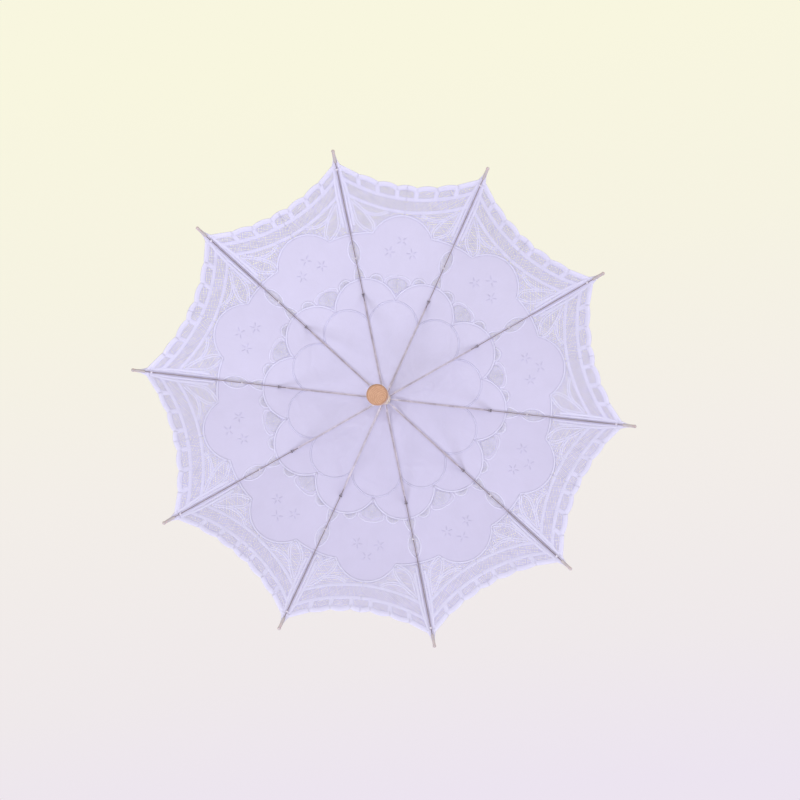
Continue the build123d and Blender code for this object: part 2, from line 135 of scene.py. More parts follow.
def wrinkle(x, y):
    """Height of the creases and of the hem's flutter, at points of the whole cover."""
    height = np.zeros_like(x)
    for (mx, my), (dx, dy), length, width, size in WRINKLES:
        along = (x - mx) * dx + (y - my) * dy
        across = (y - my) * dx - (x - mx) * dy
        height += size * np.exp(-((along / length) ** 2) - (across / width) ** 2)
    distance = np.hypot(x, y)
    turn = np.arctan2(y, x)
    hem = np.clip((distance - FLUTTER_FROM) / FLUTTER_RUN, 0, 1) ** 2
    waves = np.sin(31 * turn + 0.9) + 0.6 * np.sin(53 * turn + 2.1 + distance / 30)
    return height + FLUTTER * hem * waves


def swung(x, y, azimuth):
    """Drawing coordinates, turned about the shaft to azimuth."""
    c, s = math.cos(azimuth), math.sin(azimuth)
    return x * c - y * s, x * s + y * c


def surface(x, y, azimuth):
    """Height of the cover at drawing points of the sector whose rib points at azimuth, in radians."""
    distance = np.hypot(x, y)
    half = math.radians(HALF)
    off = half - np.minimum(np.abs(np.arctan2(y, x)), half)  # from the middle of the gore
    level = distance * np.cos(off)
    share = np.tan(off) / math.tan(half)  # 1 on the rib and 0 in the middle of the gore
    dip = SAG * level * math.tan(half) * (1 - share**2)
    free = np.clip((1 - share) * 4, 0, 1)  # 0 on the rib, where the cover can't crease
    free *= np.clip((distance - FREE_FROM) / FREE_RUN, 0, 1)
    return over_the_rib(level / math.cos(half)) - dip + free * wrinkle(*swung(x, y, azimuth))


def drape(points, azimuth):
    """Drawing points (x, y, height above the cloth's middle), laid on the cover, in metres."""
    x, y, up = points[:, 0], points[:, 1], points[:, 2]
    step = 0.5
    z = surface(x, y, azimuth)
    slope_x = (surface(x + step, y, azimuth) - surface(x - step, y, azimuth)) / (2 * step)
    slope_y = (surface(x, y + step, azimuth) - surface(x, y - step, azimuth)) / (2 * step)
    long = np.sqrt(1 + slope_x**2 + slope_y**2)
    x = x - slope_x / long * up
    y = y - slope_y / long * up
    z = z + up / long
    return np.column_stack((*swung(x, y, azimuth), z)) * MM


# ---------------- drawing tools


def polar(distance, angle):
    """A drawing point from its distance to the shaft and its angle from the rib, in degrees."""
    a = math.radians(angle)
    return np.array((distance * math.cos(a), distance * math.sin(a)))


class Bow:
    """A circle's arc across the gores: near mm from the shaft at the angle axis, far mm at the
    angles span to either side."""

    def __init__(self, axis, near, far, span=HALF):
        half, level = far * math.sin(math.radians(span)), far * math.cos(math.radians(span))
        rise = near - level
        self.axis = axis
        self.radius = (half**2 + rise**2) / (2 * rise)  # negative where it bows inwards
        self.centre = near - self.radius

    def distance(self, angle):
        off = math.radians(angle - self.axis)
        inside = self.radius**2 - (self.centre * math.sin(off)) ** 2
        return self.centre * math.cos(off) + math.copysign(math.sqrt(inside), self.radius)

    def path(self, start, end, step=2.5, shift=0.0):
        """Points from one angle to another, moved outwards by shift."""
        length = abs(math.radians(end - start)) * self.distance((start + end) / 2)
        angles = np.linspace(start, end, max(3, int(length / step) + 1))
        return np.array([polar(self.distance(a) + shift, a) for a in angles])


def arc_through(start, middle, end, step=2.5):
    """Points along the circle through three points."""
    a, b, c = (complex(*p) for p in (start, middle, end))
    w = (c - a) / (b - a)
    if abs(w.imag) < 1e-6:
        count = max(3, int(abs(c - a) / step) + 1)
        return np.linspace(start, end, count)
    centre = a + (b - a) * (w - abs(w) ** 2) / (2j * w.imag)
    radius = abs(a - centre)
    first = math.atan2((a - centre).imag, (a - centre).real)
    turn_to_middle = np.angle((b - centre) / (a - centre))
    turn = np.angle((c - centre) / (a - centre))
    if turn_to_middle * turn < 0 or abs(turn_to_middle) > abs(turn):
        turn -= math.copysign(2 * math.pi, turn)
    count = 2 * max(2, int(abs(turn) * radius / step / 2)) + 1  # odd, so that one is at the middle
    angles = first + np.linspace(0, turn, count)
    x = centre.real + radius * np.cos(angles)
    y = centre.imag + radius * np.sin(angles)
    return np.column_stack((x, y))


def resample(path, step):
    """The same path with evenly spaced points."""
    path = np.asarray(path, float)
    runs = np.concatenate(([0], np.cumsum(np.linalg.norm(np.diff(path, axis=0), axis=1))))
    wanted = np.linspace(0, runs[-1], max(2, int(round(runs[-1] / step)) + 1))
    return np.column_stack([np.interp(wanted, runs, path[:, i]) for i in range(path.shape[1])])


def smooth(points, step=2.0):
    """A Catmull-Rom curve through the points, which are few."""
    p = np.asarray(points, float)
    p = np.vstack((2 * p[0] - p[1], p, 2 * p[-1] - p[-2]))
    t = np.linspace(0, 1, 12, endpoint=False)[:, None]
    parts = []
    for a, b, c, d in zip(p[:-3], p[1:-2], p[2:-1], p[3:], strict=True):
        straight = 2 * b + (c - a) * t
        bend = (2 * a - 5 * b + 4 * c - d) * t**2
        twist = (3 * b - a - 3 * c + d) * t**3
        parts.append(0.5 * (straight + bend + twist))
    parts.append(p[-2][None])
    return resample(np.vstack(parts), step)


def mirrored(path):
    """The path on the other side of the rib."""
    return np.asarray(path) * (1, -1)


def inside(points, loop):
    """True for each point that lies in the closed loop."""
    x, y = points[:, 0][:, None], points[:, 1][:, None]
    a, b = loop, np.roll(loop, -1, axis=0)
    crosses = (a[:, 1] > y) != (b[:, 1] > y)
    rise = np.where(b[:, 1] == a[:, 1], 1e-12, b[:, 1] - a[:, 1])
    at = a[:, 0] + (y - a[:, 1]) / rise * (b[:, 0] - a[:, 0])
    return (crosses & (x < at)).sum(axis=1) % 2 == 1


# ---------------- from drawings to meshes


class Pile:
    """Small shapes, gathered to become one mesh. Points are (x, y, height) in the drawing."""

    def __init__(self):
        self.points, self.faces, self.ends, self.count = [], [], [], 0

    def add(self, points, faces, ends=()):
        """Adds smooth faces and, apart from them, the flat faces that close their ends."""
        self.points.append(np.asarray(points, float))
        self.faces.append(np.asarray(faces, int) + self.count)
        self.ends += [np.asarray(end, int)[None] + self.count for end in ends]
        self.count += len(points)

    def mesh(self, name, azimuth):
        """The pile as a mesh, draped over the sector at azimuth."""
        plan = np.vstack(self.points)
        return mesh_from(name, drape(plan, azimuth), self.faces, self.ends, plan[:, :2] * MM)


def in_scene(name, data):
    """A new object in the scene."""
    obj = bpy.data.objects.new(name, data)
    bpy.context.scene.collection.objects.link(obj)
    return obj


def mesh_from(name, points, smooth_faces, flat_faces, plan):
    """A mesh object from arrays of points and of faces; plan gives its UV map, in metres."""
    face_groups = [*smooth_faces, *flat_faces]
    corners = np.concatenate([g.ravel() for g in face_groups])
    sizes = np.concatenate([np.full(len(g), g.shape[1]) for g in face_groups])
    rounded = np.ones(len(sizes), bool)
    if flat_faces:
        rounded[-sum(len(g) for g in flat_faces) :] = False
    mesh = bpy.data.meshes.new(name)
    mesh.vertices.add(len(points))
    mesh.vertices.foreach_set("co", points.astype(np.float32).ravel())
    mesh.loops.add(len(corners))
    mesh.loops.foreach_set("vertex_index", corners.astype(np.int32))
    mesh.polygons.add(len(sizes))
    starts = np.concatenate(([0], np.cumsum(sizes)[:-1]))
    mesh.polygons.foreach_set("loop_start", starts.astype(np.int32))
    mesh.polygons.foreach_set("use_smooth", rounded)
    layer = mesh.uv_layers.new(name="plan")
    layer.data.foreach_set("uv", plan[corners].astype(np.float32).ravel())
    mesh.update(calc_edges=True)
    mesh.validate()
    return in_scene(name, mesh)


TAPE_SECTION = ((-1, 0), (-0.82, 0.85), (0, 1), (0.82, 0.85), (1, 0), (0.82, -0.85), (0, -1), (-0.82, -0.85))
THREAD_SECTION = ((-1, 0), (0, 1), (1, 0), (0, -1))


def tube_faces(count, around):
    """Faces of a tube whose count points go around in rings, and the two that close its ends."""
    ring = np.arange(around)
    i, j = np.meshgrid(np.arange(0, count - around, around), ring, indexing="ij")
    j2 = (j + 1) % around
    quads = np.stack((i + j, i + around + j, i + around + j2, i + j2), axis=-1)
    return quads.reshape(-1, 4), (ring, count - 1 - ring)


def sweep(pile, path, width, thick, height=0.0, section=TAPE_SECTION):
    """Adds a tape or a thread along a path in the drawing; width may vary along the path."""
    path = np.asarray(path, float)
    if len(path) < 2:
        return
    ahead = np.gradient(path, axis=0)
    ahead /= np.maximum(np.linalg.norm(ahead, axis=1), 1e-9)[:, None]
    side = np.column_stack((ahead[:, 1], -ahead[:, 0]))
    shape = np.array(section)
    across = np.outer(np.broadcast_to(width, len(path)), shape[:, 0] / 2)
    up = shape[:, 1] * thick / 2 + height
    xy = path[:, None, :] + side[:, None, :] * across[..., None]
    z = np.broadcast_to(up, (len(path), len(shape)))[..., None]
    points = np.concatenate((xy, z), axis=2).reshape(-1, 3)
    pile.add(points, *tube_faces(len(points), len(shape)))


def sweep_both(pile, path, *sizes):
    """Adds a tape or a thread and its mirror image across the rib."""
    sweep(pile, path, *sizes)
    sweep(pile, mirrored(path), *sizes)


ROW_SHARE = 0.866  # of the spacing, from row to row, for even triangles
RIM_CLEARANCE = 0.55  # of the spacing, from the cloth's edges


def cut_cloth(outline, holes, spacing):
    """Triangles that fill the outline and leave the holes open."""
    loops = [outline, *holes]
    points = [tuple(p) for loop in loops for p in loop]
    edges, first = [], 0
    for loop in loops:
        count = len(loop)
        edges += [(first + i, first + (i + 1) % count) for i in range(count)]
        first += count
    low, high = outline.min(0), outline.max(0)
    rows = np.arange(low[1], high[1], spacing * ROW_SHARE)
    grid = [
        (x + spacing / 2 * (row % 2), y)
        for row, y in enumerate(rows)
        for x in np.arange(low[0], high[0], spacing)
    ]
    grid = np.array(grid)
    grid = grid[inside(grid, outline)]
    rim = np.vstack([resample(np.vstack((loop, loop[:1])), spacing / 2) for loop in loops])
    keep = np.ones(len(grid), bool)
    batch = 400
    for i in range(0, len(grid), batch):
        gaps = np.linalg.norm(grid[i : i + batch, None] - rim[None], axis=2).min(axis=1)
        keep[i : i + batch] = gaps > spacing * RIM_CLEARANCE
    points += [tuple(p) for p in grid[keep]]
    made = delaunay_2d_cdt([Vector(p) for p in points], edges, [], 0, 1e-4, False)
    corners = np.array([tuple(v) for v in made[0]])
    triangles = np.array([f for f in made[2] if len(f) == 3])
    middles = corners[triangles].mean(axis=1)
    wanted = inside(middles, outline)
    for hole in holes:
        wanted &= ~inside(middles, hole)
    triangles = triangles[wanted]
    used, triangles = np.unique(triangles, return_inverse=True)
    triangles = triangles.reshape(-1, 3)
    corners = corners[used]
    a, b, c = (corners[triangles[:, i]] for i in range(3))
    turned = np.cross(b - a, c - a) < 0
    triangles[turned] = triangles[turned][:, ::-1]
    return corners, triangles


def both_sides(corners, triangles):
    """A half sector's cloth, joined to its mirror image along the rib."""
    corners = corners.copy()
    corners[np.abs(corners[:, 1]) < 1e-3, 1] = 0
    on_rib = corners[:, 1] == 0
    other = np.where(on_rib, np.arange(len(corners)), 0)
    other[~on_rib] = len(corners) + np.arange((~on_rib).sum())
    points = np.vstack((corners, mirrored(corners[~on_rib])))
    return points, np.vstack((triangles, other[triangles][:, ::-1]))


SHORTEST_THREAD = 1.0
THREAD_WAVE = 0.12  # of the spacing, to each side


def hatch(loop, spacing, angle, rng, jitter=0.18, tuck=0.8):
    """Nearly parallel threads across a closed loop, cut off a tuck past its edge."""
    a = math.radians(angle)
    turn = np.array(((math.cos(a), -math.sin(a)), (math.sin(a), math.cos(a))))
    turned = loop @ turn
    low, high = turned[:, 1].min(), turned[:, 1].max()
    threads = []
    for level in np.arange(low + spacing / 2, high, spacing):
        level += rng.uniform(-jitter, jitter) * spacing
        p, q = turned, np.roll(turned, -1, axis=0)
        over = (p[:, 1] > level) != (q[:, 1] > level)
        p, q = p[over], q[over]
        hits = p[:, 0] + (level - p[:, 1]) / (q[:, 1] - p[:, 1]) * (q[:, 0] - p[:, 0])
        hits = np.sort(hits)
        for start, end in zip(hits[::2], hits[1::2], strict=False):
            if end - start < SHORTEST_THREAD:
                continue
            x = np.linspace(start - tuck, end + tuck, max(2, int((end - start) / 5) + 2))
            wave = THREAD_WAVE * spacing * np.sin(x / 3.1 + rng.uniform(0, 6.28))
            threads.append(np.column_stack((x, level + wave)) @ turn.T)
    return threads


# ---------------- the lace pattern, in millimetres

CROWN_HOLE = 6.2
INNER_PETAL = Bow(HALF, 168.0, 136.0)
OUTER_PETAL = Bow(0.0, 207.5, 171.0)
NOTCH_ANGLE = 7.6  # from the rib, where the medallion's side lobe meets its big lobe
SIDE_LOBE = Bow(0.0, 282.0, 279.0, span=NOTCH_ANGLE)
BIG_LOBE = Bow(HALF, 305.5, 279.0, span=HALF - NOTCH_ANGLE)
INNER_TAPE = Bow(HALF, 309.8, 349.0)
HEM_TAPE = Bow(HALF, 329.3, 372.0)
HEM = Bow(HALF, 348.5, 392.0)
HEM_BARS = (4.9, 9.9, 15.3)  # degrees from the rib
SCALLOP_DEPTHS = (1.0, 3.0, 3.8, 3.8)  # from the rib to the middle of the gore

OUTLINE_WIDTH = 2.6
OUTLINE_THICK = 1.0
SEAM_WIDTH = 1.5
LACE_TAPE = 5.2
SCALLOP_TAPE = 7.6
BAR_TAPE = 8.2
LACE_THICK = 0.85
LEAF_TAPE = 2.3
LAYER = 0.03  # by which tapes that cross differ in thickness
LADDER_ANGLES = (1.9, 3.2, 4.5, 5.7, 8.9, 9.9, 10.9, 11.9, 12.9, 13.9)
LADDER_WIDTH = 1.3
LADDER_THICK = 0.7
NET_LEVEL = 0.16  # of a net's two sets of threads, above and below the cloth's middle
FILLING_LEVEL = 0.14
FILLING_WIDTH = 1.0
FILLING_THICK = 0.45
# Painted shade: thin greyer threads along the raised tapes' sides, where shade falls between tape and cloth.
SHADE_LINE_SIZE = 0.5
SHADE_LINE_GAP = 0.45  # of the painted shade line's middle, from the edge of its tape
CLOTH_SPACING = 2.6


def drawn(*places, step=2.4):
    """A smooth path through places given as distances from the shaft and angles from the rib."""
    return smooth([polar(*place) for place in places], step)


def over_the_gore(path):
    """A path mirrored about the middle of the gore."""
    c, s = math.cos(math.radians(PITCH)), math.sin(math.radians(PITCH))
    return path @ np.array(((c, s), (s, -c)))


def shifted(path, by):
    """A path moved to its right as it runs."""
    ahead = np.gradient(path, axis=0)
    ahead /= np.linalg.norm(ahead, axis=1)[:, None]
    return path + np.column_stack((ahead[:, 1], -ahead[:, 0])) * by


def medallion_edge(angle):
    """Distance from the shaft to the cotton's edge."""
    return SIDE_LOBE.distance(angle) if angle < NOTCH_ANGLE else BIG_LOBE.distance(angle)


def medallion_path(shift=0.0):
    """The cotton's edge from the rib to the middle of the gore."""
    side = SIDE_LOBE.path(0, NOTCH_ANGLE, 2.4, shift)
    return np.vstack((side, BIG_LOBE.path(NOTCH_ANGLE, HALF, 2.4, shift)[1:]))


def pentagon():
    """The opening in the middle of a gore, between two outer petals."""
    places = ((178.6, HALF), (186.0, 15.6), (193.2, 13.2), (198.2, 13.0), (203.0, 14.8), (205.4, HALF))
    half = drawn(*places, step=2.0)
    return np.vstack((half, over_the_gore(half)[::-1][1:-1]))


D_ANGLES = (11.0, 4.6)
D_DEPTH = 10.0


def d_opening():
    """The opening beside each rib, flat along the outer petal and round outside."""
    flat = OUTER_PETAL.path(*D_ANGLES, 2.0, shift=2.0)
    middle = (flat[0] + flat[-1]) / 2
    out = middle / np.linalg.norm(middle)
    return np.vstack((flat, arc_through(flat[-1], middle + out * D_DEPTH, flat[0], 2.0)[1:-1]))


def upper_loop():
    """The narrow opening over the rib, between the outer petal and the crossing of the tapes."""
    side = drawn((210.5, 1.9), (216.0, 1.75), (222.0, 1.05), (228.0, 0.12), step=1.6)
    return np.vstack((side, mirrored(side)[::-1]))


def lens():
    """The pointed opening over the rib."""
    start, end = polar(233.5, 0), polar(270.0, 0)
    left = arc_through(start, polar(251, 2.0), end, 2.0)
    right = arc_through(end, polar(251, -2.0), start, 2.0)
    return np.vstack((left, right[1:-1]))


SPRIGS = ((246.7, 13.6), (265.5, HALF))  # distances from the shaft and angles from the rib
SPRIG_PETALS = 5
PETAL_SPAN = (2.8, 9.4)  # from the middle of its sprig
PETAL_WIDTH = 1.7


def sprig_petals(distance, angle):
    """The embroidered petals of a sprig, as their middles and the widths along them."""
    centre = polar(distance, angle)
    petals = []
    for i in range(SPRIG_PETALS):
        way = math.radians(angle) + math.pi / 2 + 2 * math.pi * i / SPRIG_PETALS
        out = np.array((math.cos(way), math.sin(way)))
        reach = np.linspace(*PETAL_SPAN, 7)
        shares = np.linspace(0.12, 0.97, 7)
        petals.append((centre + out * reach[:, None], PETAL_WIDTH * np.sin(np.pi * shares) ** 0.7))
    return petals


def crown_outline():
    """Half a sector's cotton, from the rib to the middle of the gore."""
    inner = np.array([polar(CROWN_HOLE, a) for a in np.linspace(HALF, 0, 4)])
    rib = resample((polar(CROWN_HOLE, 0), polar(SIDE_LOBE.distance(0), 0)), CLOTH_SPACING)
    middle = resample((polar(BIG_LOBE.distance(HALF), HALF), polar(CROWN_HOLE, HALF)), CLOTH_SPACING)
    return np.vstack((inner[:-1], rib[:-1], medallion_path()[:-1], middle[:-1]))


def corner_tapes():
    """Middles and widths of the tapes that fan out from the notch and run along the rib."""
    first = drawn((280.0, 7.3), (283.5, 6.2), (288.5, 4.8), (298.0, 3.3), (314.0, 2.6), (333.0, 2.2))
    second = drawn((281.0, 7.8), (289.5, 8.1), (300.0, 7.1), (315.0, 5.1), (331.0, 2.6))
    third = drawn((310.0, 13.0), (305.8, 10.6), (306.0, 8.4), (310.5, 6.1), (317.0, 4.7))
    inner = smooth([(284.0, 3.3), (330.0, 3.8), (360.0, 3.4), (378.0, 2.4), (391.5, 1.2)])
    outer = smooth([(293.0, 8.6), (330.0, 9.2), (350.0, 8.6), (368.0, 6.4), (386.0, 3.2)])
    tapes = [(inner, 4.4), (outer, 4.6)]
    for path, shifts in ((first, (0.0, 3.4)), (second, (-1.7, 1.7)), (third, (-1.5, 1.5))):
        tapes += [(shifted(path, by), LEAF_TAPE) for by in shifts]
    return tapes


CORNER_DISTANCES = (383.0, 388.0, 392.0, 396.0, 400.0, 403.0)  # from the shaft, along the rib
CORNER_WIDTHS = (17.0, 13.0, 9.4, 6.6, 5.4, 5.0)
CORNER_THICK = 1.15


def gathered_corner(pile):
    """The hem's corner, drawn out to a point and sewn round the start of the tip cap."""
    along = np.linspace(CORNER_DISTANCES[0], CORNER_DISTANCES[-1], 12)
    path = np.column_stack((along, np.zeros(len(along))))
    sweep(pile, path, np.interp(along, CORNER_DISTANCES, CORNER_WIDTHS), CORNER_THICK)


def ladder():
    """The light bars that hold the cotton's edge to the lace."""
    bars = []
    for angle in LADDER_ANGLES:
        edge = medallion_edge(angle)
        reach = 7.5 if angle < NOTCH_ANGLE else 12.5 - 0.9 * (angle - NOTCH_ANGLE)
        bars.append(np.array([polar(edge + out, angle) for out in (-1.0, reach / 2, reach)]))
    return bars


def scallop_arcs():
    """The scallops of half a gore's hem, from the rib on, as arcs of their tape's middle."""
    ends = (0.0, *HEM_BARS, 2 * HALF - HEM_BARS[-1])
    arcs = []
    for start, end, depth in zip(ends[:-1], ends[1:], SCALLOP_DEPTHS, strict=True):
        places = ((start, -depth / 2), ((start + end) / 2, depth / 2), (end, -depth / 2))
        arcs.append(arc_through(*[polar(HEM.distance(a) - SCALLOP_TAPE / 2 + by, a) for a, by in places]))
    last = arcs[-1]
    arcs[-1] = last[: len(last) // 2 + 1]
    return arcs


def net_zones():
    """The closed loops that the lace's nets fill, in half a gore: fan, band and hem."""
    fan = np.vstack((medallion_path(), INNER_TAPE.path(HALF, 0, 2.0)))
    band = np.vstack((INNER_TAPE.path(0, HALF, 2.0), HEM_TAPE.path(HALF, 0, 2.0)))
    hem = np.vstack((HEM_TAPE.path(0, HALF, 2.0), *[arc[::-1] for arc in scallop_arcs()[::-1]]))
    return fan, band, hem


# ---------------- the drawing's five piles


def draw_cloth():
    """The cotton with its cut openings, and its flat area in square metres."""
    holes = [pentagon(), d_opening(), upper_loop(), lens()]
    corners, triangles = both_sides(*cut_cloth(crown_outline(), holes, CLOTH_SPACING))
    a, b, c = (corners[triangles[:, i]] for i in range(3))
    plan = np.abs(np.cross(b - a, c - a)) / 2
    middles = (a + b + c) / 3
    slopes = START_SLOPE + (np.hypot(*middles.T) - PIVOT_RADIUS) / CURVE_RADIUS
    pile = Pile()
    pile.add(np.column_stack((corners, np.zeros(len(corners)))), triangles)
    return pile, float((plan / np.cos(slopes)).sum()) * MM * MM


def outline_paths():
    """Middles of the raised tapes on the cotton, in half a sector, with their widths."""
    lower = drawn((197.0, 11.8), (204.5, 12.2), (208.8, 15.0), (209.4, HALF), step=2.2)
    d_round = d_opening()
    d_flat = len(OUTER_PETAL.path(*D_ANGLES, 2.0))
    outer = np.vstack((d_round[d_flat - 1 :], d_round[:1]))
    lens_side = arc_through(polar(230.5, 0.0), polar(251, 2.35), polar(273.5, 0.0), 2.2)
    upper_side = drawn((208.0, 2.6), (216.0, 2.2), (224.0, 1.3), (231.5, 0.0), step=2.2)
    return [
        (INNER_PETAL.path(0, HALF), SEAM_WIDTH),
        (OUTER_PETAL.path(HALF, 0), OUTLINE_WIDTH),
        (medallion_path(shift=-1.4), OUTLINE_WIDTH),
        (lower, 2.2),
        (shifted(outer, -1.2), 2.2),
        (lens_side, 2.2),
        (upper_side, 2.2),
    ]


def draw_tapes():
    """The raised tapes on the cotton and the woven tapes of the lace."""
    pile = Pile()
    for count, (path, width) in enumerate(outline_paths()):
        sweep_both(pile, path, width, OUTLINE_THICK - LAYER * count)
    for bow, width in ((INNER_TAPE, LACE_TAPE), (HEM_TAPE, LACE_TAPE + 0.6)):
        sweep_both(pile, bow.path(0, HALF, 3.0), width, LACE_THICK)
    for count, arc in enumerate(scallop_arcs()):
        sweep_both(pile, arc, SCALLOP_TAPE, LACE_THICK + 0.04 + LAYER * (count % 2))
    for count, (path, width) in enumerate(corner_tapes()):
        sweep_both(pile, path, width, LACE_THICK + 0.1 + LAYER * count)
    gathered_corner(pile)
    for angle in HEM_BARS:
        outer_end = HEM.distance(angle) - SCALLOP_TAPE / 2 - 1
        bar = resample((polar(HEM_TAPE.distance(angle), angle), polar(outer_end, angle)), 3.0)
        sweep_both(pile, bar, BAR_TAPE, LACE_THICK - 0.05)
    for bar in ladder():
        sweep_both(pile, bar, LADDER_WIDTH, LADDER_THICK)
    return pile


def draw_net(rng):
    """The needle lace's nets: in the corners, in the wide band and in the hem."""
    pile = Pile()
    fan, band, hem = net_zones()
    for loop, spacing, angles, width in (
        (fan, 2.5, (62, 118), 1.15),
        (band, 2.3, (40, 140), 1.1),
        (hem, 2.3, (50, 130), 1.05),
    ):
        for turn, angle in enumerate(angles):
            height = NET_LEVEL * (2 * turn - 1)
            for path in hatch(loop, spacing, angle, rng):
                sweep_both(pile, path, width, width * 0.6, height, THREAD_SECTION)
    return pile


def clip_to_gore(path):
    """The part of a path on the rib's side of the gore's middle line, with a little over."""
    path = resample(path, 1.0)
    keep = np.degrees(np.arctan2(path[:, 1], path[:, 0])) <= HALF + 0.15
    return resample(path[keep], 4.0) if keep.sum() > 1 else path[:0]


def draw_fillings(rng):
    """The fine fillings of the cotton's openings."""
    pile = Pile()
    for loop, spacing in ((pentagon(), 1.6), (d_opening(), 1.6), (upper_loop(), 1.8), (lens(), 1.7)):
        add = sweep if loop[:, 1].min() < 0 else sweep_both  # a loop over the rib is whole
        for turn, angle in enumerate((28, 98)):
            height = FILLING_LEVEL * (2 * turn - 1)
            for path in hatch(loop, spacing, angle, rng, jitter=0.15):
                path = clip_to_gore(path)
                add(pile, path, FILLING_WIDTH, FILLING_THICK, height, THREAD_SECTION)
    return pile


def draw_shade_lines_and_sprigs():
    """Painted shade beside the raised tapes, as thin greyer threads, and the embroidered sprigs."""
    pile = Pile()
    # painted shade: a greyer thread along each side of the first three raised tapes
    for path, width in outline_paths()[:3]:
        for way in (-1, 1):
            line = shifted(path, way * (width / 2 + SHADE_LINE_GAP))
            sweep_both(pile, line, SHADE_LINE_SIZE, SHADE_LINE_SIZE, 0.0, THREAD_SECTION)
    for sprig in SPRIGS:
        for path, widths in sprig_petals(*sprig):
            if np.degrees(np.arctan2(path[:, 1], path[:, 0])).mean() <= HALF + 1e-6:
                sweep_both(pile, path, widths, 0.7)
    return pile


# ---------------- materials, with lengths in metres


def srgb(*values):
    """A colour given as 0 to 255 on a screen, in the renderer's linear units."""
    linear = [v / 255 / 12.92 if v <= 10 else ((v / 255 + 0.055) / 1.055) ** 2.4 for v in values]
    return (*linear, 1.0)


def darker(colour, share):
    """The colour with only a share of its light."""
    return tuple(c * share for c in colour[:3]) + (1.0,)


class Nodes:
    """The node tree of a material or a world, with short calls to fill it."""

    def __init__(self, name, world=False):
        self.owner = (bpy.data.worlds if world else bpy.data.materials).new(name)
        self.owner.use_nodes = True
        self.tree = self.owner.node_tree
        self.tree.nodes.clear()
        self.output = self.add("OutputWorld" if world else "OutputMaterial")

    def add(self, kind, inputs=None, **settings):
        """A node; inputs maps socket names or numbers to values or to other nodes' outputs."""
        made = self.tree.nodes.new("ShaderNode" + kind)
        for key, value in settings.items():
            setattr(made, key, value)
        for key, value in (inputs or {}).items():
            self.put(made.inputs[key], value)
        return made

    def put(self, socket, value):
        """Gives a socket a value or another node's output."""
        if isinstance(value, bpy.types.NodeSocket):
            self.tree.links.new(value, socket)
        else:
            socket.default_value = value

    def math(self, operation, *values):
        """The result of an operation on one or two values."""
        made = self.add("Math", operation=operation)
        for socket, value in zip(made.inputs, values, strict=False):
            self.put(socket, value)
        return made.outputs[0]

    def weighted(self, *parts):
        """The sum of (value, weight) parts."""
        total, *others = [self.math("MULTIPLY", value, weight) for value, weight in parts]
        for other in others:
            total = self.math("ADD", total, other)
        return total

    def place(self):
        """The place of a point in the shared frame, with every part at rest."""
        return self.add("TexCoord").outputs["Object"]

    def plan(self):
        """The place of a point in the cover's flat drawing, in metres."""
        return self.add("UVMap", uv_map="plan").outputs["UV"]

    def scaled(self, place, x, y, z, shift=(0.0, 0.0, 0.0)):
        """Places with each axis scaled, and then moved by shift."""
        inputs = {"Vector": place, "Location": shift, "Scale": (x, y, z)}
        return self.add("Mapping", inputs).outputs[0]

    def noise(self, place, scale, detail, rough=0.5, distortion=0.0):
        """A noise texture's value."""
        inputs = {"Vector": place, "Scale": scale, "Detail": detail, "Roughness": rough}
        return self.add("TexNoise", {**inputs, "Distortion": distortion}).outputs["Fac"]

    def waves(self, place, scale, distortion, detail, detail_scale=1.0, **settings):
        """A wave texture's value."""
        inputs = {"Vector": place, "Scale": scale, "Distortion": distortion, "Detail": detail}
        made = self.add("TexWave", {**inputs, "Detail Scale": detail_scale}, **settings)
        return made.outputs["Fac"]

    def ramp(self, factor, *stops):
        """A colour ramp from (place, colour) stops."""
        made = self.add("ValToRGB", {"Fac": factor})
        elements = made.color_ramp.elements
        while len(elements) < len(stops):
            elements.new(0.5)
        for element, (place, colour) in zip(elements, stops, strict=True):
            element.position = place
            element.color = colour
        return made.outputs["Color"]

    def between(self, value, start, end):
        """Goes from 0 to 1 as the value goes from start to end."""
        inputs = {"Value": value, "From Min": start, "From Max": end}
        return self.add("MapRange", inputs).outputs[0]

    def spread(self, value, low, high):
        """Goes from low to high as the value goes from 0 to 1."""
        return self.add("MapRange", {"Value": value, "To Min": low, "To Max": high}).outputs[0]

    def blend(self, share, first, second):
        """The first colour where share is 0, and the second where it is 1."""
        return self.add("Mix", {0: share, 6: first, 7: second}, data_type="RGBA").outputs[2]

    def bump(self, height, strength, distance):
        """Normals that follow a height, which is distance metres at its most."""
        inputs = {"Height": height, "Strength": strength, "Distance": distance}
        return self.add("Bump", inputs).outputs[0]

    def face(self, colour, rough, normal, extra):
        """The shader of a surface; extra holds its other inputs."""
        inputs = {"Base Color": colour, "Roughness": rough, "Normal": normal, **extra}
        return self.add("BsdfPrincipled", inputs).outputs[0]

    def let_through(self, share, face, colour, normal):
        """The face with a share of its light coming through from behind."""
        through = self.add("BsdfTranslucent", {"Color": colour, "Normal": normal}).outputs[0]
        return self.add("MixShader", {0: share, 1: face, 2: through}).outputs[0]

    def finish(self, shader):
        """Puts the shader on the material or world, which it returns."""
        self.tree.links.new(shader, self.output.inputs["Surface"])
        return self.owner


BAND_PERIOD = 0.314  # metres between the bands of a wave texture of scale 1


